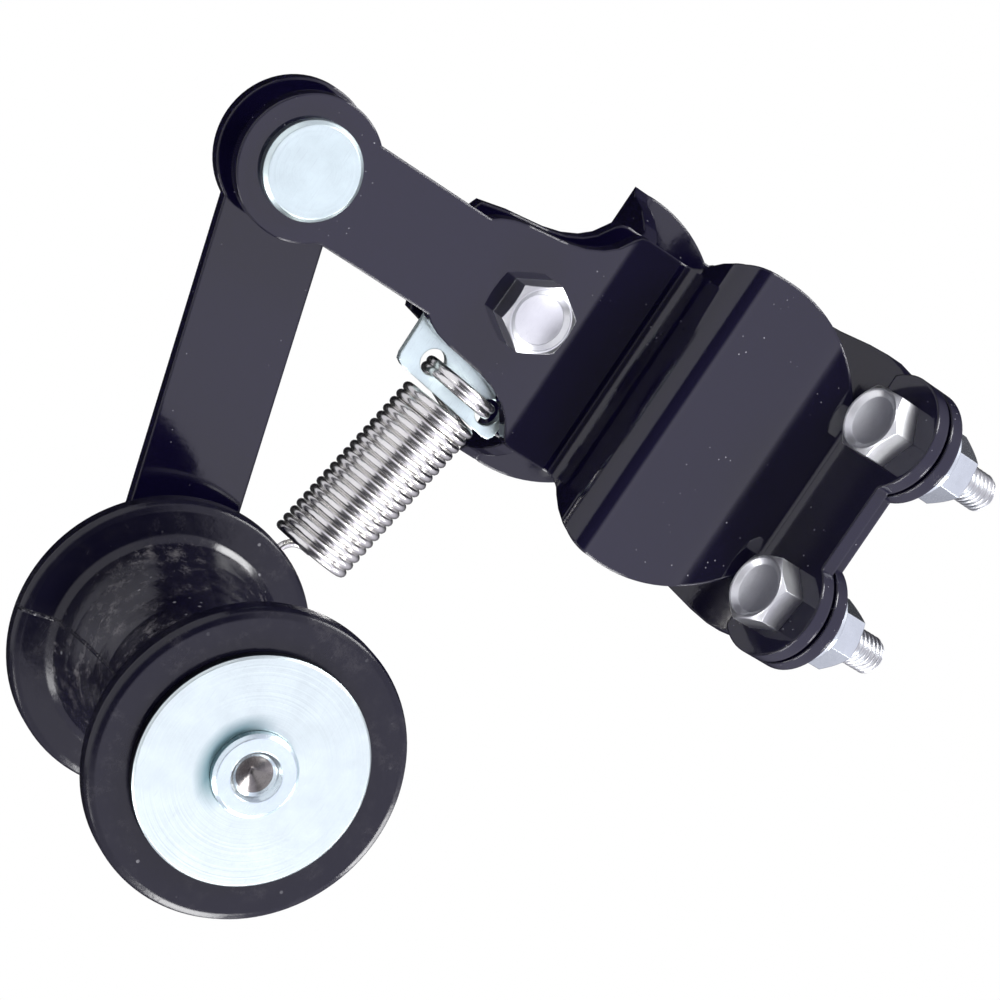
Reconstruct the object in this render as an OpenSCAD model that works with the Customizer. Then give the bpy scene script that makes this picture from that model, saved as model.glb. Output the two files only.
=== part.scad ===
// Spring-loaded chain tensioner with a folded two-part tube clamp.
// Lengths are in millimetres. The part stands as it does on the frame tube: the tube
// runs along X, the arm hangs down from the clamp and the front faces -Y.
// Each piece is drawn lying flat, with the pivot at the origin, the arm along Y and the
// front up. placed() then stands it up around the centre of the tube seat.

/* [Pressed plates] */
// Thickness of the two clamp plates
sheet = 2.5; // [2:0.1:3.5]
// Inside radius of the folds
fold_r = 2; // [1:0.25:3]
// Half width of the arm
arm_half = 8.2; // [7:0.1:9.5]
// Radius of the round end at the pivot
eye_r = 10.8; // [9.5:0.1:12.5]
// Space between the two clamp plates
plate_gap = 5.7; // [5.7:0.1:8]

/* [Clamp] */
// Distance from the pivot to the arm bolt
arm_bolt_y = 40.7; // [39:0.1:43]
// Half width of the neck
neck_half = 18.4; // [17:0.1:20]
// Distance from the pivot to the clamp wall
wall_y = 59.3; // [58:0.1:64]
// Distance from the pivot to the rear clamp wall
rear_wall_y = 54.75; // [53.5:0.05:57]
// Height of the front panel above the arm
front_rise = 13.1; // [12:0.1:17]
// Depth of the rear panel behind its neck
rear_drop = 16.2; // [14:0.1:20]
// Radius of the front panel
front_lobe_r = 24.7; // [24:0.1:27]
// Radius of the rear panel
rear_lobe_r = 24.3; // [24:0.1:27]
// Width of the rear panel along the arm
rear_panel_l = 21.9; // [20:0.1:24]
// Angle of the slanted wall
slant_angle = 68; // [62:0.5:74]

/* [Tab] */
// Distance from the pivot to the tab
tab_y = 88.5; // [86:0.1:94]
// Angle between the tab and the arm
tab_angle = 77.5; // [74:0.5:84]
// Distance from the middle to each clamp bolt
tab_bolt_x = 14.8; // [13:0.1:16]
// Height of the clamp bolts on the tab
tab_bolt_s = 6.9; // [6.5:0.1:9]
// Radius of the ears
ear_r = 9.1; // [8.5:0.1:10]
// Height of the front tab between the ears
tab_h = 11.8; // [10:0.1:13]
// Height of the rear tab between the ears
rear_tab_h = 9.8; // [8:0.1:12]
// Space left between the two tabs
tab_gap = 0.8; // [0.3:0.1:2]

/* [Bolts and nuts] */
// Diameter of the bolts
bolt_d = 6; // [5:0.1:6.5]
// Clearance round the bolts
bolt_gap = 0.2; // [0.1:0.05:0.4]
// Width across the flats
flats = 10; // [9.5:0.1:11]
// Height of the bolt heads
head_h = 4.5; // [3.5:0.1:5]
// Diameter of the dished face of the heads
dish_d = 9.1; // [7:0.1:9.3]
// Diameter of the nut flange
flange_d = 13.6; // [13:0.1:15]
// Height of the nuts
nut_h = 9.2; // [7:0.1:10]
// Length of the arm bolt under its head
arm_bolt_l = 22; // [20:0.5:30]
// Length of the clamp bolts under their heads
clamp_bolt_l = 23.8; // [20:0.2:30]
// Height of the toothed collar under the nut flange
collar_h = 2.3; // [1.5:0.1:2.8]
// Number of teeth round the collar
teeth = 18; // [12:1:22]

/* [Pivot] */
// Diameter of the pivot pin
pin_d = 8; // [7:0.1:9]
// Diameter of the pivot pin head
pin_head_d = 14.7; // [13:0.1:17]
// Height of the pivot pin head
pin_head_h = 2; // [1.5:0.1:3]
// Radial clearance of the turning fits
run_gap = 0.06; // [0.02:0.01:0.1]
// End clearance of the turning pieces
end_gap = 0.1; // [0.05:0.05:0.2]

/* [Swing link] */
// Thickness of the swing link
link_t = 2.4; // [2:0.1:3]
// Distance from the pivot to the roller axle
link_l = 72.7; // [71:0.1:78]
// Radius of the round end of the swing link at the pivot
link_eye_r = 11.4; // [10:0.1:12.5]
// Angle between the swing link and the tube
link_angle = 17.3; // [15:0.1:20]

/* [Roller] */
// Diameter of the roller flanges
roller_d = 44.6; // [42:0.2:45.4]
// Length of the roller
roller_l = 50; // [44:0.5:54]
// Thickness of the roller flanges
rim_t = 4.5; // [3:0.1:6]
// Radius of the core beside the flanges
core_r = 16.5; // [15.5:0.1:18]
// Radius of the core in the middle
waist_r = 13; // [12:0.1:15]
// Diameter of the roller axle
axle_d = 12; // [11:0.1:13]
// Distance from the link to the roller
roller_gap = 4.5; // [4.3:0.1:6]
// Diameter of the front washer
cap_d = 33; // [28:0.5:38]
// Thickness of the front washer
cap_t = 1.5; // [1:0.1:2.5]

/* [Spring] */
// Outside diameter of the spring
spring_d = 12.7; // [12:0.1:12.9]
// Thickness of the spring wire
wire_d = 1.45; // [1.3:0.05:1.5]
// Number of turns in the body of the spring
turns = 20; // [16:1:20]
// Slope of the spring
spring_slope = -9.4; // [-11:0.1:-8]
// Distance between the two ends of the spring
spring_l = 43.2; // [42.8:0.1:45]
// Thickness of the spring plate
hook_plate_t = 1.2; // [1:0.1:1.4]

/* [Hidden] */
$fn = 48;
mid = sheet / 2;
bend = fold_r + mid;
cut = 40;
lap = 0.02;
seat = [0, 70.9, -6.9];

rear_z = -sheet - plate_gap;
hook_z = -4.5;
link_z = rear_z + 0.15;
link_back = link_z - link_t;
roller_z = link_z + roller_gap;
cap_z = roller_z + roller_l + end_gap;
axle_end_z = cap_z + cap_t + 1.6;
core_half = roller_l / 2 - rim_t - 1;
core_arc_r = (pow(core_half, 2) + pow(core_r - waist_r, 2)) / (2 * (core_r - waist_r));
core_sweep = asin(core_half / core_arc_r);
bush_r = 8;
bush_l = 12;
washer_t = 1;

hook_at = [14.83, 39.94];
coil_r = (spring_d - wire_d) / 2;
pitch = wire_d;
body_from = 4.5;
body_to = body_from + turns * pitch;
end_wire_d = wire_d - 0.2;
eye_in_r = 2.35;
eye_mid_r = eye_in_r + end_wire_d / 2;
anchor_at = hook_at + spring_l * [cos(spring_slope), sin(spring_slope)];
anchor_z = link_z + wire_d;
eye_x = hook_z - anchor_z;
curl_r = (coil_r - eye_x) / 2;
anchor_pin_r = 2;
anchor_play = 1.3;
axle_at = link_l * [cos(link_angle), sin(link_angle)];

front_z = front_rise - mid;
front_corner_y = tab_y + mid * tan(tab_angle / 2);
uphill = [cos(tab_angle), sin(tab_angle)];
rear_mid_z = rear_z - mid;
panel_z = rear_mid_z - rear_drop;
slant_y = rear_wall_y + mid + rear_panel_l;
rear_tab = [tab_y, front_rise] + (sheet + tab_gap + mid) * [sin(tab_angle), -cos(tab_angle)];
lean = [cos(slant_angle), sin(slant_angle)];
to_tab = rear_tab - [slant_y, panel_z];
slant_l = (to_tab[0] * uphill[1] - to_tab[1] * uphill[0]) / (lean[0] * uphill[1] - lean[1] * uphill[0]);
rear_kink = [slant_y, panel_z] + slant_l * lean;

front_path = [
    [-eye_r, -mid],
    [wall_y + mid, -mid],
    [wall_y + mid, front_z],
    [front_corner_y, front_z],
    [front_corner_y, front_z] + 2 * ear_r * uphill + tab_bolt_s * uphill
];
rear_path = [
    [27.3, rear_mid_z],
    [rear_wall_y + mid, rear_mid_z],
    [rear_wall_y + mid, panel_z],
    [slant_y, panel_z],
    rear_kink,
    rear_tab + (tab_bolt_s + ear_r + 3) * uphill
];

function way(a) = [cos(a), sin(a)];
function heading(p, i) = atan2(p[i + 1][1] - p[i][1], p[i + 1][0] - p[i][0]);
function turned(a) = a > 180 ? a - 360 : a < -180 ? a + 360 : a;
function turn_at(p, i) = turned(heading(p, i) - heading(p, i - 1));
function trim(p, i) = i == 0 || i == len(p) - 1 ? 0 : bend * tan(abs(turn_at(p, i)) / 2);
function arc(c, r, a, b, n) = [for (i = [0 : n]) c + r * way(a + (b - a) * i / n)];
function mirrored(p) = [for (i = [len(p) - 1 : -1 : 0]) [-p[i][0], p[i][1]]];
function both_sides(p) = concat(p, mirrored(p));

// Stands a piece up, with the centre of the tube seat at the origin.
module placed() rotate([90, 0, 0]) translate(-seat) children();

// Turns a drawing of the side view across the arm.
module across() rotate([90, 0, 90]) children();

// Frame on the front face of the tab, with y up the tab.
module on_tab() translate([0, tab_y, front_rise]) rotate([tab_angle, 0, 0]) children();

// A sheet that follows a middle line given as distance and height, with round folds.
module folded(path, w) across() {
    for (i = [0 : len(path) - 2]) {
        run = norm(path[i + 1] - path[i]) - trim(path, i) - trim(path, i + 1);
        translate([path[i][0], path[i][1], 0])
            rotate([0, 0, heading(path, i)])
            translate([trim(path, i) - lap, -mid, -w / 2])
            cube([run + 2 * lap, sheet, w]);
    }
    for (i = [1 : len(path) - 2]) {
        turn = turn_at(path, i);
        before = heading(path, i - 1);
        centre = path[i] - trim(path, i) * way(before) + sign(turn) * bend * way(before + 90);
        translate([centre[0], centre[1], -w / 2])
            rotate([0, 0, turn > 0 ? before - 90 : heading(path, i) + 90])
            rotate_extrude(angle = abs(turn), $fn = 64)
            translate([fold_r, 0])
            square([sheet, w]);
    }
}

// Right edge of the shoulder, from the arm to the neck.
shoulder_edge = [
    [arm_half, 27.3], [arm_half + 0.9, 28.6], [arm_half + 1.7, 30.4], [arm_half + 2.3, 33],
    [arm_half + 2.7, 36], [arm_half + 3.2, 39.5], [arm_half + 4, 42.5], [arm_half + 5.2, 45],
    [arm_half + 6.7, 46.8], [arm_half + 8.3, 47.9],
    [neck_half - 1, 48.5], [neck_half - 0.3, 49.2], [neck_half, 50.3]
];

// Flat outline of the front plate, from the pivot to the neck.
module arm_outline() {
    circle(r = eye_r);
    polygon(both_sides(concat(
        [[arm_half, 0]], shoulder_edge, [[neck_half, wall_y - fold_r + lap]]
    )));
}

// Flat outline of the rear plate, which stops short of the pivot.
module rear_outline() polygon(both_sides(concat(
    [[arm_half - 1, 27.3], [arm_half + 1.2, 28.2]],
    [for (i = [2 : len(shoulder_edge) - 1]) shoulder_edge[i]],
    [[neck_half, rear_wall_y - fold_r + lap]]
)));

// Outline of the wall, which widens away from the neck.
module wall_outline(rise, wide) polygon(both_sides([
    [neck_half, -sheet - 1], [neck_half, 0], [neck_half + 1.8, 3], [neck_half + 3.2, 6],
    [neck_half + 4, 8.6], [wide - 1.3, 10.8], [wide - 0.5, 12.2],
    [wide, 13.1], [wide, rise + 1]
]));

// Outline of the tab, with its two ears.
module tab_outline() {
    difference() {
        union() {
            for (s = [-1, 1]) translate([s * tab_bolt_x, tab_bolt_s]) circle(r = ear_r);
            translate([-tab_bolt_x, 0]) square([2 * tab_bolt_x, tab_h]);
        }
        translate([-cut, -cut]) square([2 * cut, cut + fold_r * tan(tab_angle / 2)]);
        for (s = [-1, 1]) translate([s * (tab_bolt_x + 2.2), fold_r - 0.6]) circle(r = 1.8, $fn = 24);
    }
}

module bolt_hole() translate([0, 0, -cut]) cylinder(d = bolt_d + 2 * bolt_gap, h = 2 * cut);

module tab_holes() on_tab() for (s = [-1, 1]) translate([s * tab_bolt_x, tab_bolt_s, 0])
    translate([0, 0, -8]) cylinder(d = bolt_d + 2 * bolt_gap, h = 10);

module front_clamp_plate() color("#1b1b1d") placed() difference() {
    intersection() {
        folded(front_path, 60);
        union() {
            translate([0, 0, -sheet - 1]) linear_extrude(height = sheet + 2) arm_outline();
            translate([0, wall_y + 5, 0]) rotate([90, 0, 0])
                linear_extrude(height = 5 + fold_r)
                wall_outline(front_rise, sqrt(pow(front_lobe_r, 2) - 9));
            intersection() {
                translate([0, 67, front_rise - sheet - 1])
                    cylinder(r = front_lobe_r, h = sheet + 2, $fn = 96);
                translate([-cut, wall_y + 5 - 0.5, 0]) cube([2 * cut, cut, cut]);
            }
            translate([-15, tab_y - 6, front_rise - sheet - 1]) cube([30, 9, 6]);
            on_tab() translate([0, 0, -sheet - 1]) linear_extrude(height = sheet + 2) tab_outline();
        }
    }
    translate([0, 0, -cut]) cylinder(d = pin_d + 0.1, h = 2 * cut);
    translate([0, arm_bolt_y, 0]) bolt_hole();
    tab_holes();
}

// Outline of the slanted wall seen from the front, as half width and height.
module slant_outline() polygon(both_sides([
    [20.6, panel_z - 2], [20.6, panel_z], [21.9, panel_z + 3.7], [22.7, panel_z + 7.4],
    [23, panel_z + 13], [23, panel_z + 18.6], [23.3, panel_z + 24.1], [24, panel_z + 29.7],
    [24.2, panel_z + 33.4], [23.6, panel_z + 36.2], [22.4, front_rise + 0.8], [21, front_rise + 2.8],
    [21, front_rise + tab_bolt_s * uphill[1]]
]));

module rear_clamp_plate() color("#1b1b1d") placed() difference() {
    intersection() {
        folded(rear_path, 60);
        union() {
            translate([0, 0, rear_z - sheet - 1]) linear_extrude(height = sheet + 2) rear_outline();
            translate([0, rear_wall_y + 5, rear_z - sheet]) rotate([90, 0, 0]) mirror([0, 1, 0])
                linear_extrude(height = 5 + fold_r)
                wall_outline(rear_drop + sheet, rear_lobe_r - 0.1);
            intersection() {
                translate([0, rear_wall_y + 4.75, panel_z - mid - 1])
                    cylinder(r = rear_lobe_r, h = sheet + 2, $fn = 96);
                translate([-cut, rear_wall_y + 5 - 0.5, panel_z - 5]) cube([2 * cut, cut, 10]);
            }
            translate([-20.6, rear_wall_y + 8, panel_z - 2]) cube([41.2, rear_panel_l - 5, 4]);
            translate([0, 130, 0]) rotate([90, 0, 0])
                linear_extrude(height = 130 - slant_y + 4) slant_outline();
            on_tab() translate([0, 0, -2 * sheet - tab_gap - 1]) linear_extrude(height = sheet + 2) {
                for (s = [-1, 1]) translate([s * tab_bolt_x, tab_bolt_s]) circle(r = ear_r);
                translate([-tab_bolt_x, 0]) square([2 * tab_bolt_x, rear_tab_h]);
            }
        }
    }
    translate([0, arm_bolt_y, 0]) bolt_hole();
    tab_holes();
}

module spring_hook_plate() color("#9fb4c4") placed() difference() {
    translate([0, 0, hook_z - hook_plate_t / 2]) linear_extrude(height = hook_plate_t) {
        translate([0, arm_bolt_y]) circle(r = 9.4);
        polygon([
            [-1.9, 31.5], [8.55, 28.8], [15.2, 28.9], [16.2, 29.2], [16.7, 30.1],
            [19.3, 47.2], [19.2, 48.2], [18.5, 48.8], [1.4, 50]
        ]);
    }
    translate([0, arm_bolt_y, 0]) bolt_hole();
    for (s = [-1, 1]) translate([hook_at[0], hook_at[1], -cut]) rotate([0, 0, spring_slope])
        translate([0, s * (coil_r + 0.35), 0]) cylinder(r = 2.05, h = 2 * cut);
}

// Hexagon head with a chamfered, dished face.
module bolt_head(turn) rotate([0, 0, turn]) difference() {
    intersection() {
        cylinder(d = flats / cos(30), h = head_h, $fn = 6);
        rotate_extrude() polygon([
            [0, 0], [flats * 0.6, 0], [flats * 0.6, head_h - 0.9], [flats * 0.48, head_h], [0, head_h]
        ]);
    }
    translate([0, 0, head_h - 0.7]) cylinder(d1 = dish_d - 1.6, d2 = dish_d, h = 0.71);
}

module bolt(l, turn) {
    bolt_head(turn);
    translate([0, 0, -l + 0.8]) cylinder(d = bolt_d, h = l - 0.8);
    translate([0, 0, -l]) cylinder(d1 = bolt_d - 1.6, d2 = bolt_d, h = 0.8);
}

// Flange nut that hangs below the origin, on a toothed collar.
module flange_nut(turn) difference() {
    union() {
        intersection() {
            translate([0, 0, -nut_h]) rotate([0, 0, turn])
                cylinder(d = flats / cos(30), h = nut_h - collar_h, $fn = 6);
            translate([0, 0, -nut_h]) cylinder(d1 = flats * 0.96, d2 = flats * 0.96 + 4 * nut_h, h = nut_h);
        }
        translate([0, 0, -collar_h - 0.8]) cylinder(d = flange_d, h = 0.8);
        translate([0, 0, -collar_h - 1.7]) cylinder(d1 = flats + 0.7, d2 = flange_d, h = 0.91);
        translate([0, 0, -collar_h - 0.1]) cylinder(d1 = flange_d - 0.3, d2 = flange_d - 1.2, h = collar_h + 0.1);
    }
    translate([0, 0, -nut_h - 1]) cylinder(d = bolt_d + 0.02, h = nut_h + 2);
    for (i = [1 : teeth]) rotate([0, 0, i * 360 / teeth])
        translate([flats * 0.46, -0.5, -collar_h + 0.4]) rotate([0, 0, 14]) cube([flange_d, 1, collar_h]);
}

module arm_bolt() color("#b9c2c9") placed() translate([0, arm_bolt_y, 0]) bolt(arm_bolt_l, -2);

module arm_bolt_washer() color("#a9b4bb") placed()
    translate([0, arm_bolt_y, hook_z + hook_plate_t / 2])
    ring(6, bolt_d / 2 + bolt_gap, -sheet - hook_z - hook_plate_t / 2);

module arm_bolt_spacer() color("#a9b4bb") placed()
    translate([0, arm_bolt_y, rear_z])
    ring(6, bolt_d / 2 + bolt_gap, hook_z - hook_plate_t / 2 - rear_z);

module arm_bolt_nut() color("#b3bcc2") placed()
    translate([0, arm_bolt_y, rear_z - sheet]) flange_nut(20);

module ring(r, hole_r, h) difference() {
    cylinder(r = r, h = h);
    translate([0, 0, -1]) cylinder(r = hole_r, h = h + 2);
}

module clamp_bolt(s, turn) placed() on_tab()
    translate([s * tab_bolt_x, tab_bolt_s, 0]) bolt(clamp_bolt_l, turn);

module clamp_nut(s, turn) placed() on_tab()
    translate([s * tab_bolt_x, tab_bolt_s, -2 * sheet - tab_gap]) flange_nut(turn);

module upper_clamp_bolt() color("#b9c2c9") clamp_bolt(-1, 33.5);
module lower_clamp_bolt() color("#b9c2c9") clamp_bolt(1, 52);
module upper_clamp_nut() color("#b3bcc2") clamp_nut(-1, 5);
module lower_clamp_nut() color("#b3bcc2") clamp_nut(1, 15);

module pivot_pin() color("#b9c2c9") placed() difference() {
    union() {
        rotate_extrude() polygon([
            [0, 0], [pin_head_d / 2, 0], [pin_head_d / 2, pin_head_h - 0.6],
            [pin_head_d / 2 - 0.6, pin_head_h], [0, pin_head_h]
        ]);
        translate([0, 0, link_back - washer_t - 3]) cylinder(d = pin_d, h = -link_back + washer_t + 3);
    }
    translate([0, 0, link_back - washer_t - 1.3 - end_gap]) ring(pin_d, pin_d / 2 - 0.7, 1.2);
}

module pivot_spacer() color("#8d969c") placed()
    translate([0, 0, link_z + end_gap / 2])
    ring(7, pin_d / 2 + 0.1, -sheet - link_z - end_gap / 2);

module pivot_washer() color("#8d969c") placed()
    translate([0, 0, link_back - end_gap - washer_t])
    ring(7.5, pin_d / 2 + 0.1, washer_t);

module pivot_clip() color("#3a3d40") placed()
    translate([0, 0, link_back - end_gap - washer_t - 1.1])
    rotate([0, 0, 120]) difference() {
        ring(6.2, pin_d / 2 - 0.6, 1);
        translate([0, -2.6, -1]) cube([10, 5.2, 3]);
    }

module swing_link() color("#1b1b1d") placed() difference() {
    translate([0, 0, link_back]) linear_extrude(height = link_t) {
        circle(r = link_eye_r);
        rotate([0, 0, link_angle]) translate([0, -arm_half]) square([link_l, 2 * arm_half]);
        translate(axle_at) circle(r = eye_r);
        translate(anchor_at) circle(r = 6);
        polygon([
            axle_at + eye_r * way(70), anchor_at + 6 * way(40), anchor_at + 6 * way(190),
            (link_l - 19.5) * way(link_angle) + arm_half * way(link_angle + 90),
            (link_l - 10) * way(link_angle)
        ]);
    }
    translate([0, 0, -cut]) cylinder(r = pin_d / 2 + run_gap, h = 2 * cut);
    translate([axle_at[0], axle_at[1], -cut]) cylinder(d = axle_d - 2 + 0.1, h = 2 * cut);
    translate([anchor_at[0], anchor_at[1], -cut]) cylinder(r = anchor_pin_r + anchor_play, h = 2 * cut);
}

module roller_axle() color("#aeb8c0") placed() translate([axle_at[0], axle_at[1], 0])
    rotate_extrude() polygon([
        [0, link_back - 2], [axle_d / 2 + 0.8, link_back - 2], [axle_d / 2 + 1.6, link_back - 1.3],
        [axle_d / 2 + 1.6, link_back], [axle_d / 2 - 1, link_back], [axle_d / 2 - 1, link_z],
        [axle_d / 2, link_z], [axle_d / 2, axle_end_z - 0.5], [axle_d / 2 - 0.5, axle_end_z],
        [3.6, axle_end_z], [3, axle_end_z - 0.8], [0, axle_end_z - 3]
    ]);

module axle_spacer() color("#8d969c") placed() translate([axle_at[0], axle_at[1], link_z])
    ring(9.5, axle_d / 2 + 0.05, roller_gap - end_gap);

module axle_cap_washer() color("#b7c4cf") placed() translate([axle_at[0], axle_at[1], cap_z])
    difference() {
        ring(cap_d / 2, axle_d / 2 + 0.05, cap_t);
        translate([0, 0, cap_t - 0.35]) difference() {
            ring(cap_d, cap_d / 2 - 0.35, 1);
            cylinder(r1 = cap_d / 2, r2 = cap_d / 2 - 0.7, h = 0.7);
        }
    }

// One rounded rim, from the bore side out to the core, for the lower flange.
function rim_profile() = [
    [bush_r, 0], [roller_d / 2 - 1.2, 0], [roller_d / 2 - 0.35, 0.35], [roller_d / 2, 1.2],
    [roller_d / 2, rim_t - 1.2], [roller_d / 2 - 0.35, rim_t - 0.35], [roller_d / 2 - 1.2, rim_t],
    [core_r + 1, rim_t + 0.2]
];
function flipped(p) = [for (i = [len(p) - 1 : -1 : 0]) [p[i][0], roller_l - p[i][1]]];

module roller_spool() color("#161617") placed() translate([axle_at[0], axle_at[1], roller_z])
    rotate_extrude($fn = 72) polygon(concat(
        rim_profile(),
        arc([waist_r + core_arc_r, roller_l / 2], core_arc_r, 180 + core_sweep, 180 - core_sweep, 10),
        flipped(rim_profile()),
        [
            [bush_r, roller_l - bush_l], [bush_r - 1, roller_l - bush_l],
            [bush_r - 1, bush_l], [bush_r, bush_l]
        ]
    ));

module front_bush() color("#8a7a55") placed()
    translate([axle_at[0], axle_at[1], roller_z + roller_l - bush_l])
    ring(bush_r, axle_d / 2 + run_gap, bush_l);

module rear_bush() color("#8a7a55") placed()
    translate([axle_at[0], axle_at[1], roller_z])
    ring(bush_r, axle_d / 2 + run_gap, bush_l);

// Frame on the spring, with z along its middle line and x to the rear.
module on_spring()
    translate([hook_at[0], hook_at[1], hook_z])
    rotate([0, 0, spring_slope])
    rotate([0, 90, 0])
    children();

// Close turns of wire, drawn as one revolved sleeve with a bead for each turn.
module close_turns(n) rotate_extrude($fn = 40) polygon(concat(
    [for (i = [0 : n - 1]) for (a = [-52, 0, 52])
        [coil_r, (i + 0.5) * pitch] + wire_d / 2 * way(a)],
    [for (i = [n - 1 : -1 : 0]) for (a = [120, 240])
        [coil_r, (i + 0.5) * pitch] + wire_d / 2 * way(a)]
));

// Length of round wire bent round a circle of mean radius r, from the x axis.
module bent_wire(r, angle) rotate_extrude(angle = angle, $fn = 32)
    translate([r, 0]) circle(d = end_wire_d, $fn = 16);

module tension_spring() color("#9aa8b4") placed() on_spring() {
    translate([0, 0, -pitch]) close_turns(2);
    translate([0, 0, body_from]) close_turns(turns);
    translate([0, 0, pitch / 2 + body_from / 2])
        rotate([atan2(body_from, 2 * coil_r), 0, 0])
        rotate([0, 0, -90])
        bent_wire(norm([body_from / 2, coil_r]), 180);
    translate([eye_x + curl_r, 0, body_to - pitch / 2]) bent_wire(curl_r, 180);
    translate([eye_x, 0, body_to - pitch / 2 + eye_mid_r])
        rotate([0, 90, 0]) rotate([0, 0, -90]) mirror([1, 0, 0]) rotate([0, 0, 90]) bent_wire(eye_mid_r, 90);
    translate([eye_x, -eye_mid_r, body_to - pitch / 2 + eye_mid_r])
        cylinder(d = end_wire_d, h = spring_l - body_to + pitch / 2 - eye_mid_r, $fn = 16);
    translate([eye_x, 0, spring_l])
        rotate([0, 90, 0]) rotate([0, 0, -90]) mirror([0, 1, 0]) bent_wire(eye_mid_r, 290);
}

module spring_anchor_pin() color("#8d969c") placed() translate([anchor_at[0], anchor_at[1], 0])
    rotate_extrude() polygon([
        [0, link_back - end_gap - 1.2], [4.2, link_back - end_gap - 1.2], [4.6, link_back - end_gap - 0.8],
        [4.6, link_back - end_gap], [anchor_pin_r, link_back - end_gap],
        [anchor_pin_r, anchor_z + 1.1], [3.6, anchor_z + 1.1], [3.6, anchor_z + 1.8],
        [3.2, anchor_z + 2.2], [0, anchor_z + 2.2]
    ]);

front_clamp_plate();
rear_clamp_plate();
spring_hook_plate();
arm_bolt();
arm_bolt_washer();
arm_bolt_spacer();
arm_bolt_nut();
upper_clamp_bolt();
lower_clamp_bolt();
upper_clamp_nut();
lower_clamp_nut();
pivot_pin();
pivot_spacer();
pivot_washer();
pivot_clip();
swing_link();
roller_axle();
axle_spacer();
axle_cap_washer();
roller_spool();
front_bush();
rear_bush();
tension_spring();
spring_anchor_pin();
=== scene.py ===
import math

import bmesh
import bpy
from mathutils import Matrix, Vector
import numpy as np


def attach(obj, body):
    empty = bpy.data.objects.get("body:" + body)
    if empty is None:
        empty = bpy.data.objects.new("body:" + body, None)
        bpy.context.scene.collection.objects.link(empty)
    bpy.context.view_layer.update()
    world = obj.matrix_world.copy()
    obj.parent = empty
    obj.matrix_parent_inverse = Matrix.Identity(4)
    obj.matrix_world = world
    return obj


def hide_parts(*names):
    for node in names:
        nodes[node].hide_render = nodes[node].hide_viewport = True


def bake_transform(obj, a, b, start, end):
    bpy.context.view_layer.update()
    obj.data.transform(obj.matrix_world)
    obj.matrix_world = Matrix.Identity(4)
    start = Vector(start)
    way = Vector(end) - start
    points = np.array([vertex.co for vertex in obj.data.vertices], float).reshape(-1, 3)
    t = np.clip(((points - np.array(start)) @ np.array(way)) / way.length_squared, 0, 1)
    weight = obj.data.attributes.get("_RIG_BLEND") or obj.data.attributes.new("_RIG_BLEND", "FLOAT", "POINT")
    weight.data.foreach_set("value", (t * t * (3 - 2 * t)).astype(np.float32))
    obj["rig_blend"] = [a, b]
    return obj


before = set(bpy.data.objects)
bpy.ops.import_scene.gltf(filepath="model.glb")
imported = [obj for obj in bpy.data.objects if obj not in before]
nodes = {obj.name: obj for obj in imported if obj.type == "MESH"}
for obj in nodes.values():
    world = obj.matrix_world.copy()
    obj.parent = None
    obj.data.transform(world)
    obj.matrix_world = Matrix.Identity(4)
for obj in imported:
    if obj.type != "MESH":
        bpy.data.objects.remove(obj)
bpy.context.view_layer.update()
scene = bpy.context.scene

# Units and frames
#
# Sizes are in millimetres, and MM turns them into Blender's metres. Places are given in the bench
# frame of part.scad: the pivot is the origin, the arm runs along Y and the front faces Z. bench()
# turns them into the frame of the loaded bodies, where Z is up and the front faces -Y.

MM = 0.001
SEAT_Y = 70.9
SEAT = Vector((0, SEAT_Y, -6.9))
STAND = Matrix.Rotation(math.radians(90), 4, "X") @ Matrix.Translation(-SEAT)
PIVOT_AXIS = (0, 0)
ROLLER_AXIS = (69.411, 21.619)


def bench(x, y, z):
    """Place in the scene, in metres, of a bench point."""
    return (STAND @ Vector((x, y, z))) * MM


# Shader nodes
#
# In these functions t is the node tree, and a value is a number, a colour or another node's output.

BLACK = (0, 0, 0, 1)
WHITE = (1, 1, 1, 1)


def link(t, a, b):
    t.links.new(a, b)


def feed(t, n, values):
    """Sets the numbered inputs of a node."""
    for i, v in values:
        if hasattr(v, "is_output"):
            link(t, v, n.inputs[i])
        else:
            n.inputs[i].default_value = v


def new_mat(name):
    """A material with one Principled shader, its tree and the shader."""
    m = bpy.data.materials.new(name)
    m.use_nodes = True
    t = m.node_tree
    t.nodes.clear()
    out = t.nodes.new("ShaderNodeOutputMaterial")
    shader = t.nodes.new("ShaderNodeBsdfPrincipled")
    link(t, shader.outputs[0], out.inputs[0])
    return m, t, shader


def coords(t, scale=(1, 1, 1), turn=(0, 0, 0)):
    """Object coordinates in millimetres, stretched and turned."""
    c = t.nodes.new("ShaderNodeTexCoord")
    m = t.nodes.new("ShaderNodeMapping")
    m.inputs["Scale"].default_value = [s * 1000 for s in scale]
    m.inputs["Rotation"].default_value = turn
    link(t, c.outputs["Object"], m.inputs["Vector"])
    return m.outputs[0]


def split(t, vec):
    """The x, y and z of a vector."""
    n = t.nodes.new("ShaderNodeSeparateXYZ")
    link(t, vec, n.inputs[0])
    return n.outputs[0], n.outputs[1], n.outputs[2]


def noise(t, vec, scale, detail, rough):
    n = t.nodes.new("ShaderNodeTexNoise")
    n.inputs["Scale"].default_value = scale
    n.inputs["Detail"].default_value = detail
    n.inputs["Roughness"].default_value = rough
    link(t, vec, n.inputs["Vector"])
    return n.outputs["Fac"]


def ramp(t, fac, lo, hi, a=BLACK, b=WHITE):
    """Runs from colour a at lo to colour b at hi."""
    r = t.nodes.new("ShaderNodeValToRGB")
    first, last = r.color_ramp.elements
    first.position, first.color = lo, a
    last.position, last.color = hi, b
    link(t, fac, r.inputs[0])
    return r.outputs[0]


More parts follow.
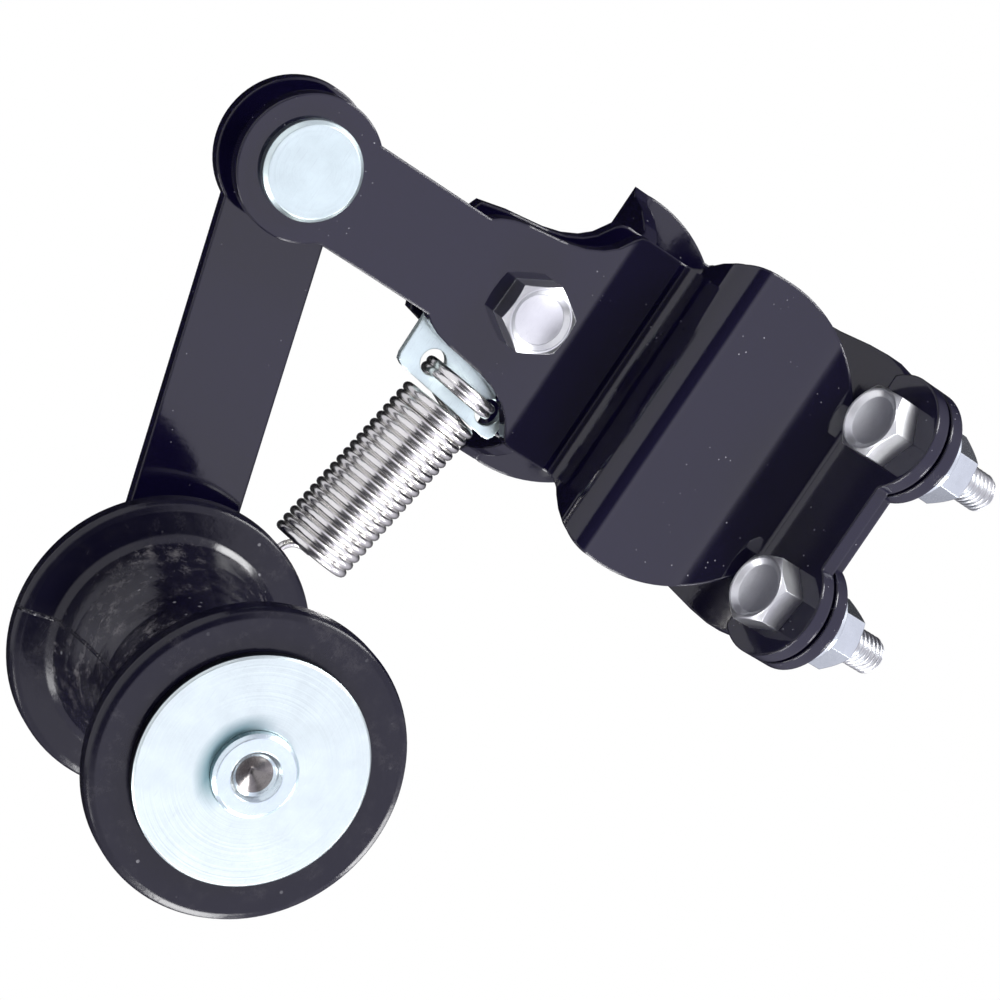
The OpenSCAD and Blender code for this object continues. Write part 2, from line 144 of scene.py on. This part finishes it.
def mix(t, fac, a, b, kind="MIX"):
    m = t.nodes.new("ShaderNodeMix")
    m.data_type = "RGBA"
    m.blend_type = kind
    feed(t, m, ((0, fac), (6, a), (7, b)))
    return m.outputs[2]


def maths(t, op, a, b=0.0):
    m = t.nodes.new("ShaderNodeMath")
    m.operation = op
    feed(t, m, ((0, a), (1, b)))
    return m.outputs[0]


def plus(t, a, b):
    return maths(t, "ADD", a, b)


def minus(t, a, b):
    return maths(t, "SUBTRACT", a, b)


def times(t, a, b):
    return maths(t, "MULTIPLY", a, b)


def worn_edge(t, radius):
    """Normal with rounded edges, as the coat or the plating leaves them."""
    n = t.nodes.new("ShaderNodeBevel")
    n.samples = 6
    n.inputs["Radius"].default_value = radius * MM
    return n.outputs[0]


def bump(t, shader, height, strength, distance, below):
    """Raises the shader's surface by a height over the normal below. The distance is in mm."""
    b = t.nodes.new("ShaderNodeBump")
    b.inputs["Strength"].default_value = strength
    b.inputs["Distance"].default_value = distance * MM
    link(t, height, b.inputs["Height"])
    link(t, below, b.inputs["Normal"])
    link(t, b.outputs[0], shader.inputs["Normal"])
    return b.outputs[0]


def round_axis(t, mm, axis):
    """Radius and angle of a point about a bench axis that runs front to back."""
    x, _, z = split(t, mm)
    u = minus(t, x, axis[0])
    v = minus(t, z, axis[1] - SEAT_Y)
    radius = maths(t, "SQRT", plus(t, times(t, u, u), times(t, v, v)))
    return radius, maths(t, "ARCTAN2", v, u)


def scratches(t, dense):
    """Fine scratches in two directions, as a value from 0 to 1."""
    a = noise(t, coords(t, (0.08, 2.2, 2.2), (0.3, 0.5, 0.9)), 3.0 * dense, 2, 0.6)
    b = noise(t, coords(t, (2.0, 0.07, 2.0), (0.8, 0.2, -0.6)), 3.0 * dense, 2, 0.6)
    return maths(t, "MAXIMUM", ramp(t, a, 0.60, 0.70), ramp(t, b, 0.62, 0.71))


def specks(t, vec, size, share, patch):
    """Round specks: a share of the cells of a cell pattern, and only in some patches."""
    cells = t.nodes.new("ShaderNodeTexVoronoi")
    cells.inputs["Scale"].default_value = size
    link(t, vec, cells.inputs["Vector"])
    near = ramp(t, cells.outputs["Distance"], 0.10, 0.17, WHITE, BLACK)
    part = t.nodes.new("ShaderNodeSeparateColor")
    link(t, cells.outputs["Color"], part.inputs[0])
    few = maths(t, "LESS_THAN", part.outputs[0], share)
    where = ramp(t, noise(t, vec, patch, 2, 0.6), 0.46, 0.60)
    return times(t, times(t, near, few), where)


# Black powder coat

COAT = (0.0035, 0.0026, 0.0150, 1)
DUST = (0.50, 0.50, 0.52, 1)
EASE_SLOPE = 0.13
FRONT_EASES = ((48.4, 56.6), (79.0, 88.0))


def eased_rise(t, mm, eases):
    """Height of a sheet that curves up a little from each start to its stop along the arm."""
    _, _, up = split(t, mm)
    rise = None
    for start, stop in eases:
        y = maths(t, "MINIMUM", plus(t, up, SEAT_Y - start), stop - start)
        root = maths(t, "SQRT", plus(t, times(t, y, y), 1.0))
        one = times(t, plus(t, root, y), EASE_SLOPE)
        rise = one if rise is None else plus(t, rise, one)
    return rise


def black_coat(name, eases=()):
    """Gloss black powder coat with dust specks. eases: where the sheet curves into its folds."""
    m, t, shader = new_mat(name)
    mm = coords(t)
    dust = times(t, specks(t, mm, 1.25, 0.13, 0.05), 0.55)
    link(t, mix(t, dust, COAT, DUST), shader.inputs["Base Color"])
    haze = ramp(t, noise(t, mm, 0.10, 5, 0.65), 0.50, 0.78)
    link(t, plus(t, times(t, haze, 0.06), 0.07), shader.inputs["Roughness"])
    shader.inputs["Specular IOR Level"].default_value = 0.62
    surface = worn_edge(t, 0.55)
    if eases:
        surface = bump(t, shader, eased_rise(t, mm, eases), 1.0, 1.0, surface)
    bump(t, shader, noise(t, mm, 0.45, 2, 0.5), 0.08, 0.12, surface)
    return m


# Zinc plate

SCRATCH = (0.30, 0.33, 0.37, 1)
# Painted shade on the cap: its rim is painted dark, for the dark ring round it.
CAP_RIM_PAINTED_SHADE = (0.045, 0.050, 0.060, 1)
# Painted shade on the cap: a teal crescent that stands for the boss's shadow on one side of the axle's boss.
BOSS_PAINTED_SHADE = (0.14, 0.27, 0.29, 1)
BOSS_SHADE_SIDE = (-0.06, -1.0)
# Painted reflection: the drilled cone at the axle's front end is painted dark brown for the dark it mirrors.
CONE_PAINTED_SHADE = (0.16, 0.115, 0.095, 1)
CAP_RIM_R = 16.42
CONE_R = 2.6
FRONT_END_Y = -40.0


def boss_painted_shade(t, mm, axis):
    """Share of the painted teal shade, the boss's shadow on the cap, on one side of the axle's boss."""
    radius, _ = round_axis(t, mm, axis)
    away = ramp(t, maths(t, "DIVIDE", radius, 10.0), 0.66, 0.84)
    x, _, z = split(t, mm)
    along_x = times(t, minus(t, x, axis[0]), BOSS_SHADE_SIDE[0])
    along_z = times(t, minus(t, z, axis[1] - SEAT_Y), BOSS_SHADE_SIDE[1])
    side = ramp(t, maths(t, "DIVIDE", plus(t, along_x, along_z), 10.0), 0.10, 0.50)
    return times(t, minus(t, 1.0, away), times(t, side, 0.85))


def cap_painted_shade(t, mm, axis, base):
    """The roller's cap: its rim painted dark as painted shade, and the painted teal shade by the boss."""
    radius, _ = round_axis(t, mm, axis)
    base = mix(t, maths(t, "GREATER_THAN", radius, CAP_RIM_R), base, CAP_RIM_PAINTED_SHADE)
    return mix(t, boss_painted_shade(t, mm, axis), base, BOSS_PAINTED_SHADE)


def cone_painted_shade(t, mm, axis, base):
    """The axle's front end: the drilled centre painted dark brown, a painted reflection of the dark the cone
    mirrors.
    """
    radius, _ = round_axis(t, mm, axis)
    _, depth, _ = split(t, mm)
    in_front = maths(t, "LESS_THAN", depth, FRONT_END_Y)
    drilled = times(t, maths(t, "LESS_THAN", radius, CONE_R), in_front)
    return mix(t, times(t, drilled, 0.80), base, CONE_PAINTED_SHADE)


def turned_rings(t, mm, axis):
    """Faint rings about an axis, as a height from 0 to 1."""
    radius, _ = round_axis(t, mm, axis)
    n = t.nodes.new("ShaderNodeTexNoise")
    n.noise_dimensions = "1D"
    n.inputs["Scale"].default_value = 2.4
    n.inputs["Detail"].default_value = 3
    link(t, radius, n.inputs["W"])
    return n.outputs["Fac"]


def zinc(name, tint, rough, axis=None, brush=0.5, shade_paint=None):
    """Bright zinc plate with fine scratches.

    axis: bench axis with turned rings round it. brush: strength of the scratches. marks: a function
    that paints the piece's painted shade and painted reflection into the base colour.
    """
    m, t, shader = new_mat(name)
    mm = coords(t)
    cloud = ramp(t, noise(t, mm, 0.22, 4, 0.6), 0.35, 0.7)
    base = mix(t, cloud, tint + (1,), tuple(min(1, c * 1.12) for c in tint) + (1,))
    scratch = scratches(t, 1.3)
    base = mix(t, times(t, scratch, 0.28 * brush), base, SCRATCH)
    # Painted shade and painted reflection from the piece's own function go into the base colour here.
    if shade_paint:
        base = shade_paint(t, mm, axis, base)
    link(t, base, shader.inputs["Base Color"])
    shader.inputs["Metallic"].default_value = 1.0
    grain = plus(t, times(t, noise(t, mm, 2.6, 3, 0.6), 0.10), rough)
    grain = plus(t, grain, times(t, scratch, 0.12 * brush))
    link(t, grain, shader.inputs["Roughness"])
    surface = bump(t, shader, noise(t, mm, 1.4, 3, 0.6), 0.10, 0.10, worn_edge(t, 0.25))
    if axis:
        bump(t, shader, turned_rings(t, mm, axis), 0.16, 0.10, surface)
    return m


# Roller plastic

PLASTIC = (0.0040, 0.0036, 0.0110, 1)
SCUFF = (0.22, 0.21, 0.21, 1)
NICK = (0.35, 0.35, 0.36, 1)
FRONT_FLANGE_Y = -49.0
CORE_R = 16.6
SEAM_ANGLE = -1.345


def mould_line(t, mm, radius, angle):
    """The crumbly line where the mould closed, on both sides of the roller, from 0 to 1."""
    off = maths(t, "ABSOLUTE", maths(t, "SINE", minus(t, angle, SEAM_ANGLE)))
    line = ramp(t, times(t, off, radius), 0.12, 0.32, WHITE, BLACK)
    crumbs = ramp(t, noise(t, mm, 1.6, 2, 0.6), 0.40, 0.62)
    return times(t, line, plus(t, times(t, crumbs, 0.75), 0.25))


def plastic(name):
    """Moulded gloss black plastic: a scuffed core, nicks and the mould's line."""
    m, t, shader = new_mat(name)
    mm = coords(t)
    radius, angle = round_axis(t, mm, ROLLER_AXIS)
    _, depth, _ = split(t, mm)
    behind_front = maths(t, "GREATER_THAN", depth, FRONT_FLANGE_Y)
    core = times(t, maths(t, "LESS_THAN", radius, CORE_R), behind_front)
    haze = ramp(t, noise(t, mm, 0.11, 5, 0.65), 0.42, 0.66)
    rubbed = ramp(t, noise(t, mm, 0.42, 8, 0.8), 0.50, 0.74)
    worn = times(t, times(t, rubbed, haze), plus(t, times(t, core, 0.85), 0.15))
    nicks = times(t, specks(t, mm, 0.55, 0.22, 0.09), 0.45)
    base = mix(t, nicks, mix(t, worn, PLASTIC, SCUFF), NICK)
    link(t, base, shader.inputs["Base Color"])
    rough = plus(t, times(t, haze, 0.14), 0.13)
    rough = plus(t, rough, times(t, scratches(t, 0.9), 0.04))
    link(t, rough, shader.inputs["Roughness"])
    shader.inputs["Specular IOR Level"].default_value = 0.42
    surface = bump(t, shader, noise(t, mm, 0.35, 4, 0.6), 0.22, 0.22, worn_edge(t, 0.5))
    line = times(t, mould_line(t, mm, radius, angle), behind_front)
    bump(t, shader, line, 0.9, 0.35, surface)
    return m


# The material of each body

M_COAT = black_coat("black_coat")
M_FRONT = black_coat("black_coat_front", FRONT_EASES)
M_ZINC = zinc("zinc_bolts", (0.72, 0.73, 0.74), 0.27)
M_PLATE = zinc("zinc_plate", (0.72, 0.845, 0.83), 0.30, brush=0.8)
M_NUT = zinc("zinc_nuts", (0.68, 0.73, 0.76), 0.18)
M_CAP = zinc("zinc_cap", (0.62, 0.70, 0.69), 0.30, ROLLER_AXIS, shade_paint=cap_painted_shade)
M_AXLE = zinc("zinc_axle", (0.66, 0.76, 0.80), 0.20, ROLLER_AXIS, shade_paint=cone_painted_shade)
M_PIN = zinc("zinc_pin", (0.655, 0.765, 0.755), 0.30, PIVOT_AXIS)
M_WIRE = zinc("spring_wire", (0.77, 0.76, 0.735), 0.14, brush=0.3)
M_DARK = zinc("dark_clip", (0.16, 0.17, 0.18), 0.35)
M_BUSH = zinc("bronze_bush", (0.52, 0.40, 0.22), 0.35)
M_ROLL = plastic("roller_plastic")

LOOK = {
    "front_clamp_plate": M_FRONT, "rear_clamp_plate": M_COAT, "swing_link": M_COAT,
    "spring_hook_plate": M_PLATE, "arm_bolt": M_ZINC, "upper_clamp_bolt": M_ZINC,
    "lower_clamp_bolt": M_ZINC, "arm_bolt_washer": M_NUT, "arm_bolt_spacer": M_NUT,
    "arm_bolt_nut": M_NUT, "upper_clamp_nut": M_NUT, "lower_clamp_nut": M_NUT,
    "pivot_pin": M_PIN, "pivot_spacer": M_NUT, "pivot_washer": M_NUT, "pivot_clip": M_DARK,
    "roller_axle": M_AXLE, "axle_spacer": M_NUT, "axle_cap_washer": M_CAP,
    "roller_spool": M_ROLL, "front_bush": M_BUSH, "rear_bush": M_BUSH,
    "tension_spring": M_WIRE, "spring_anchor_pin": M_NUT,
}


def dress(mesh, mat):
    """Gives a whole mesh one material and smooth shading."""
    mesh.materials.clear()
    mesh.materials.append(mat)
    for p in mesh.polygons:
        p.use_smooth = True


for name, mat in LOOK.items():
    dress(nodes[name].data, mat)

# The spring
#
# One round wire. Its upper turns are threaded through the hook plate's two holes, it crosses over
# to the close-wound body, and its lower end curls in to an eye round the anchor pin. Heights run
# along its middle line from the hook plate. The upper turns stay with the clamp, the first turns of
# the body take up the bend when the link swings, and the rest stretches towards the pin.

HOOK_X, HOOK_Y, HOOK_Z = 14.83, 39.94, -4.5
SPRING_SLOPE = math.radians(-9.4)
COIL_R = 5.625
WIRE_R = 0.725
THIN_WIRE_R = 0.63
PITCH = 1.45
STEPS = 44
SIDES = 12
THREADED_TURNS = 1.75
THREADED_HALF = 0.62 * PITCH
CROSSING_TURNS = 0.5
BODY_TURNS = 19.75
BEND_TURNS = 1.75
BODY_FROM = 4.25
BODY_TO = 4.5 + 19.5 * PITCH
EYE_AT = 43.2
EYE_X = 2.1
EYE_R = 2.35 + 0.625
EYE_SWEEP = math.radians(290)
CURL_R = (COIL_R - EYE_X) / 2


def on_spring(x, y, z):
    """Place in the scene of a point of the spring: z along its middle line, x to the rear."""
    cos, sin = math.cos(SPRING_SLOPE), math.sin(SPRING_SLOPE)
    return bench(HOOK_X + z * cos - y * sin, HOOK_Y + z * sin + y * cos, HOOK_Z - x)


def helix(turns, s0, s1, a0):
    """Points of a coil from height s0 to s1, starting at angle a0 in turns."""
    count = int(round(turns * STEPS))
    out = []
    for i in range(count + 1):
        f = i / count
        a = 2 * math.pi * (a0 + turns * f)
        out.append((COIL_R * math.cos(a), COIL_R * math.sin(a), s0 + (s1 - s0) * f))
    return out


def ease(points, s0, s1):
    """The same points with their height run smoothly from s0 to s1."""
    out = []
    for i, (x, y, _) in enumerate(points):
        f = i / (len(points) - 1)
        out.append((x, y, s0 + (s1 - s0) * f * f * (3 - 2 * f)))
    return out


def lower_eye():
    """Points from the last turn to the end of the eye: curl in, turn down, run straight, eye."""
    out = []
    for i in range(1, 17):
        a = math.pi * i / 16
        out.append((EYE_X + CURL_R + CURL_R * math.cos(a), CURL_R * math.sin(a), BODY_TO))
    for i in range(1, 13):
        a = math.pi / 2 * i / 12
        out.append((EYE_X, -EYE_R * math.sin(a), BODY_TO + EYE_R * (1 - math.cos(a))))
    straight_from = BODY_TO + EYE_R
    for i in range(1, 9):
        out.append((EYE_X, -EYE_R, straight_from + (EYE_AT - straight_from) * i / 8))
    for i in range(1, 41):
        a = EYE_SWEEP * i / 40
        out.append((EYE_X, -EYE_R * math.cos(a), EYE_AT + EYE_R * math.sin(a)))
    return out


def rings_along(path, radii):
    """Rings of points round a path, with a turned frame that never twists."""
    last = len(path) - 1
    side = None
    verts = []
    for i, middle in enumerate(path):
        tangent = (path[min(i + 1, last)] - path[max(i - 1, 0)]).normalized()
        if side is None:
            up = Vector((0, 0, 1)) if abs(tangent.z) < 0.8 else Vector((1, 0, 0))
            side = tangent.cross(up).normalized()
        side = (side - tangent * side.dot(tangent)).normalized()
        other = tangent.cross(side)
        for k in range(SIDES):
            a = 2 * math.pi * k / SIDES
            verts.append(middle + (side * math.cos(a) + other * math.sin(a)) * radii[i])
    return verts


def wire(name, points, radii):
    """A closed round wire through points of the spring. The radii are in mm."""
    path = [on_spring(*p) for p in points]
    verts = rings_along(path, [r * MM for r in radii])
    faces = []
    for i in range(len(path) - 1):
        here, ahead = i * SIDES, (i + 1) * SIDES
        for k in range(SIDES):
            n = (k + 1) % SIDES
            faces.append((here + k, here + n, ahead + n, ahead + k))
    faces.append(tuple(reversed(range(SIDES))))
    faces.append(tuple(range(len(verts) - SIDES, len(verts))))
    mesh = bpy.data.meshes.new(name)
    mesh.from_pydata([tuple(v) for v in verts], [], faces)
    mesh.materials.append(M_WIRE)
    for p in mesh.polygons:
        p.use_smooth = len(p.vertices) == 4
    ob = bpy.data.objects.new(name, mesh)
    scene.collection.objects.link(ob)
    return ob


def weigh(obj, weights):
    """Sets the far body's share for each ring of a blended wire."""
    for i, vert in enumerate(obj.data.attributes["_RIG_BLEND"].data):
        vert.value = weights[i // SIDES]


threaded = helix(THREADED_TURNS, -THREADED_HALF, THREADED_HALF, 0.0)
crossing = ease(helix(CROSSING_TURNS, 0, 1, THREADED_TURNS), THREADED_HALF, BODY_FROM)[1:]
coils = helix(BODY_TURNS, BODY_FROM, BODY_TO, THREADED_TURNS + CROSSING_TURNS)
bend_steps = int(BEND_TURNS * STEPS)
upper = threaded + crossing + coils[1:bend_steps + 1]
body = coils[bend_steps:]
tail = lower_eye()
BODY_START = body[0][2]

thinning = [max(THIN_WIRE_R, WIRE_R - 0.008 * i) for i in range(len(tail))]
top = wire("spring_upper_turns", upper, [WIRE_R] * len(upper))
low = wire("spring_body", body + tail, [WIRE_R] * len(body) + thinning)
for o in (top, low):
    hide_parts("tension_spring")
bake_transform(top, "frame_clamp", "spring", on_spring(0, 0, 0.7 * PITCH), on_spring(0, 0, BODY_START))
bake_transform(low, "spring", "spring_end", on_spring(0, 0, BODY_START), on_spring(0, 0, BODY_TO))

turning = len(upper) - len(threaded)
weigh(top, [0.0] * len(threaded) + [(i + 1) / turning for i in range(turning)])
weigh(low, [i / (len(body) - 1) for i in range(len(body))] + [1.0] * len(tail))

# Bolts
#
# Each hex bolt is the CAD bolt with the end of its shank cut off and a real screw thread in its
# place, and with the face of the head pressed in like a shallow dish. A bolt's own frame has z
# along its axis, out of the head, and z = 0 under the head.

BOLT_R = 3.0
BOLT_TIP_R = 2.2
THREAD_PITCH = 1.0
THREAD_DEPTH = 0.58
THREAD_RUN_IN = 1.2
THREAD_OVERLAP = 0.02
ROUND = 48
HEAD_H = 3.8
DISH_DEPTH = 0.45
DISH_RINGS = (3.78, 3.4, 2.9, 2.3, 1.6, 0.8)
TAB_ANGLE = math.radians(77.5)
TAB_FOOT_Y, TAB_FOOT_Z = 88.5, 13.1
TAB_BOLT_X, TAB_BOLT_UP = 14.8, 6.9
ARM_BOLT_Y = 40.7


def circle(k):
    """Cosine and sine of step k round a bolt."""
    a = 2 * math.pi * k / ROUND
    return math.cos(a), math.sin(a)


def press_dish(bm, spot, axis, origin, inv):
    """Swaps the flat face of the head for a shallow dish."""
    up = inv.to_3x3() @ axis
    out = inv.inverted()
    face = []
    for f in bm.faces:
        height = (out @ f.calc_center_median() - origin).dot(axis)
        if abs(height - HEAD_H * MM) < 0.05 * MM and f.normal.dot(up) > 0.9:
            face.append(f)
    bmesh.ops.delete(bm, geom=face, context="FACES")
    rings = []
    for r in DISH_RINGS:
        z = HEAD_H - DISH_DEPTH * (1 - (r / DISH_RINGS[0]) ** 2)
        ring = []
        for k in range(ROUND):
            cos, sin = circle(k)
            ring.append(bm.verts.new(spot(r * cos, r * sin, z)))
        rings.append(ring)
    for outer, inner in zip(rings, rings[1:]):
        for k in range(ROUND):
            n = (k + 1) % ROUND
            bm.faces.new((outer[k], outer[n], inner[n], inner[k]))
    bm.faces.new(rings[-1])


def thread_radius(z, k, length, thread_from):
    """Radius of the thread at height z and step k round: full at the start, pointed at the tip."""
    f = (-z / THREAD_PITCH - k / ROUND) % 1.0
    crest = min(1.0, max(0.0, (abs(f - 0.5) * 2 - 0.10) / 0.72))
    run_in = min(1.0, max(0.0, (-z - thread_from) / THREAD_RUN_IN))
    r = BOLT_R - THREAD_DEPTH * (1 - crest) * run_in
    return min(r, BOLT_TIP_R + max(0.0, z + length))


def add_thread(bm, spot, length, thread_from):
    """Adds a closed threaded end from thread_from to length below the head."""
    step = THREAD_PITCH / 10
    rings = int(round((length - thread_from) / step)) + 1
    grid = []
    for i in range(rings + 1):
        z = -thread_from + THREAD_OVERLAP - min(i * step, length - thread_from + THREAD_OVERLAP)
        row = []
        for k in range(ROUND):
            r = thread_radius(z, k, length, thread_from)
            cos, sin = circle(k)
            row.append(bm.verts.new(spot(r * cos, r * sin, z)))
        grid.append(row)
    for here, below in zip(grid, grid[1:]):
        for k in range(ROUND):
            n = (k + 1) % ROUND
            bm.faces.new((here[k], below[k], below[n], here[n]))
    bm.faces.new(grid[-1])
    bm.faces.new(list(reversed(grid[0])))


def threaded_bolt(node_name, place, length, thread_from, mat):
    """The CAD bolt with a thread and a dished head. place turns its own frame into the scene's."""
    source = nodes[node_name]
    mesh = source.data.copy()
    mesh.name = node_name + "_threaded"
    ob = bpy.data.objects.new(node_name + "_threaded", mesh)
    ob.matrix_world = source.matrix_world
    scene.collection.objects.link(ob)
    origin = place(0, 0, 0)
    axis = (place(0, 0, 1) - origin).normalized()
    inv = source.matrix_world.inverted()

    def spot(x, y, z):
        return inv @ place(x, y, z)

    bm = bmesh.new()
    bm.from_mesh(mesh)
    bmesh.ops.bisect_plane(
        bm, geom=bm.verts[:] + bm.edges[:] + bm.faces[:], dist=1e-7,
        plane_co=spot(0, 0, -thread_from), plane_no=(inv.to_3x3() @ axis).normalized(),
        clear_inner=True,
    )
    press_dish(bm, spot, axis, origin, inv)
    add_thread(bm, spot, length, thread_from)
    bmesh.ops.recalc_face_normals(bm, faces=bm.faces[:])
    bm.to_mesh(mesh)
    bm.free()
    dress(mesh, mat)
    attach(ob, "frame_clamp")
    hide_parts(node_name)


def on_tab(side):
    """Frame of the clamp bolt on one side of the tilted tab."""
    cos, sin = math.cos(TAB_ANGLE), math.sin(TAB_ANGLE)

    def place(x, y, z):
        x += side * TAB_BOLT_X
        y += TAB_BOLT_UP
        return bench(x, TAB_FOOT_Y + y * cos - z * sin, TAB_FOOT_Z + y * sin + z * cos)

    return place


def on_arm(x, y, z):
    """Frame of the bolt through the arm."""
    return bench(x, y + ARM_BOLT_Y, z)


threaded_bolt("upper_clamp_bolt", on_tab(-1), 23.8, 12.0, M_ZINC)
threaded_bolt("lower_clamp_bolt", on_tab(1), 23.8, 12.0, M_ZINC)
threaded_bolt("arm_bolt", on_arm, 22.0, 11.0, M_ZINC)

# Camera, at the photograph's viewing angle

CAMERA_AT = Vector((-0.0134, -0.4685, -0.2507))
RIGHT = Vector((-0.5571, -0.3369, 0.7590))
DOWN = Vector((0.8270, -0.3076, 0.4705))
AHEAD = Vector((0.0750, 0.8899, 0.4500))

cam_data = bpy.data.cameras.new("camera")
cam_data.lens = 126.7
cam_data.sensor_width = 36
cam_data.clip_start = 0.01
cam_data.clip_end = 50
cam = bpy.data.objects.new("camera", cam_data)
turned = Matrix((RIGHT, -DOWN, -AHEAD)).transposed().to_4x4()
cam.matrix_world = Matrix.Translation(CAMERA_AT) @ turned
scene.collection.objects.link(cam)
scene.camera = cam

# Lamps
#
# Soft boxes round the middle of the object. Each row: name, how far along the photograph's right,
# up and toward the viewer, width, height (all in metres) and radiance.

TARGET = Vector((0.02, -0.01, -0.03))
LAMPS = (
    ("right_box", 0.86, 0.26, 0.22, 0.34, 0.42, 20.0),
    ("left_box", -0.85, 0.49, 0.05, 0.34, 0.34, 16.0),
    ("left_low_box", -0.70, -0.62, 0.30, 0.28, 0.28, 9.0),
    ("low_box", 0.10, -0.92, 0.16, 0.55, 0.28, 15.0),
    ("corner_box", 0.68, -0.72, -0.16, 0.24, 0.24, 14.0),
)


def lamp(name, right, up, toward, wide, high, radiance):
    data = bpy.data.lights.new(name, "AREA")
    data.shape = "RECTANGLE"
    data.size = wide
    data.size_y = high
    data.energy = radiance * math.pi * wide * high
    o = bpy.data.objects.new(name, data)
    o.location = TARGET + RIGHT * right - DOWN * up - AHEAD * toward
    o.rotation_euler = (TARGET - o.location).to_track_quat("-Z", "Y").to_euler()
    scene.collection.objects.link(o)


for row in LAMPS:
    lamp(*row)

# The room
#
# A pale studio that falls off away from the bright side. The part behind the camera is dark, so
# what faces the camera squarely mirrors a dark patch. Camera rays see plain white.

BRIGHT_SIDE = Vector((0.16, -0.97, 0.18)).normalized()
ROOM_STOPS = (
    (0.0, 0.01), (0.20, 0.03), (0.40, 0.34), (0.62, 0.62), (0.92, 0.74), (0.99, 1.0), (1.0, 1.0),
)
ROOM_TINT = (0.98, 0.96, 1.10, 1)
ROOM_STRENGTH = 1.22
DARK_PATCH = (0.10, 0.10, 0.10, 1)


def grey(v):
    return (v, v, v, 1)


def toward_side(t, direction):
    """How far a ray points to one side, from -1 to 1."""
    ray = t.nodes.new("ShaderNodeTexCoord")
    dot = t.nodes.new("ShaderNodeVectorMath")
    dot.operation = "DOT_PRODUCT"
    link(t, ray.outputs["Generated"], dot.inputs[0])
    dot.inputs[1].default_value = direction
    return dot.outputs["Value"]


def falloff(t, fac):
    """Grey of the room along ROOM_STOPS."""
    node = t.nodes.new("ShaderNodeValToRGB")
    stops = node.color_ramp.elements
    stops[0].position, stops[0].color = ROOM_STOPS[0][0], grey(ROOM_STOPS[0][1])
    stops[1].position, stops[1].color = ROOM_STOPS[-1][0], grey(ROOM_STOPS[-1][1])
    for at, v in ROOM_STOPS[1:-1]:
        stops.new(at).color = grey(v)
    link(t, fac, node.inputs[0])
    return node.outputs[0]


def background(t, color, strength):
    b = t.nodes.new("ShaderNodeBackground")
    feed(t, b, ((0, color), (1, strength)))
    return b.outputs[0]


def build_room():
    world = bpy.data.worlds.new("world")
    scene.world = world
    world.use_nodes = True
    t = world.node_tree
    t.nodes.clear()
    out = t.nodes.new("ShaderNodeOutputWorld")
    shade = falloff(t, times(t, plus(t, toward_side(t, BRIGHT_SIDE), 1.0), 0.5))
    dark = ramp(t, toward_side(t, -AHEAD), 0.76, 0.86, WHITE, DARK_PATCH)
    tone = mix(t, 1.0, shade, ROOM_TINT, "MULTIPLY")
    tone = mix(t, 1.0, tone, dark, "MULTIPLY")
    seen = t.nodes.new("ShaderNodeLightPath").outputs["Is Camera Ray"]
    pick = t.nodes.new("ShaderNodeMixShader")
    room, white = background(t, tone, ROOM_STRENGTH), background(t, WHITE, 1.0)
    feed(t, pick, ((0, seen), (1, room), (2, white)))
    link(t, pick.outputs[0], out.inputs[0])


build_room()

# The floor, in metres

FLOOR_Z, FLOOR_R = -0.45, 0.6
FLOOR_SEEN = (0.86, 0.86, 0.86, 1)
FLOOR_MIRRORED = (0.62, 0.62, 0.63, 1)


def floor_paint():
    """Pale floor that keeps its shade, and a quiet grey to what is mirrored in the part."""
    m, t, shader = new_mat("floor_paint")
    seen = t.nodes.new("ShaderNodeLightPath").outputs["Is Camera Ray"]
    link(t, mix(t, seen, FLOOR_MIRRORED, FLOOR_SEEN), shader.inputs["Base Color"])
    shader.inputs["Roughness"].default_value = 0.9
    shader.inputs["Specular IOR Level"].default_value = 0.0
    shader.inputs["Emission Color"].default_value = WHITE
    link(t, times(t, seen, 0.45), shader.inputs["Emission Strength"])
    return m


floor_mesh = bpy.data.meshes.new("floor")
floor_mesh.from_pydata([
    (-FLOOR_R, -FLOOR_R, FLOOR_Z), (FLOOR_R, -FLOOR_R, FLOOR_Z),
    (FLOOR_R, FLOOR_R, FLOOR_Z), (-FLOOR_R, FLOOR_R, FLOOR_Z),
], [], [(0, 1, 2, 3)])
floor_mesh.materials.append(floor_paint())
floor = bpy.data.objects.new("floor", floor_mesh)
scene.collection.objects.link(floor)

scene.view_settings.view_transform = "Standard"
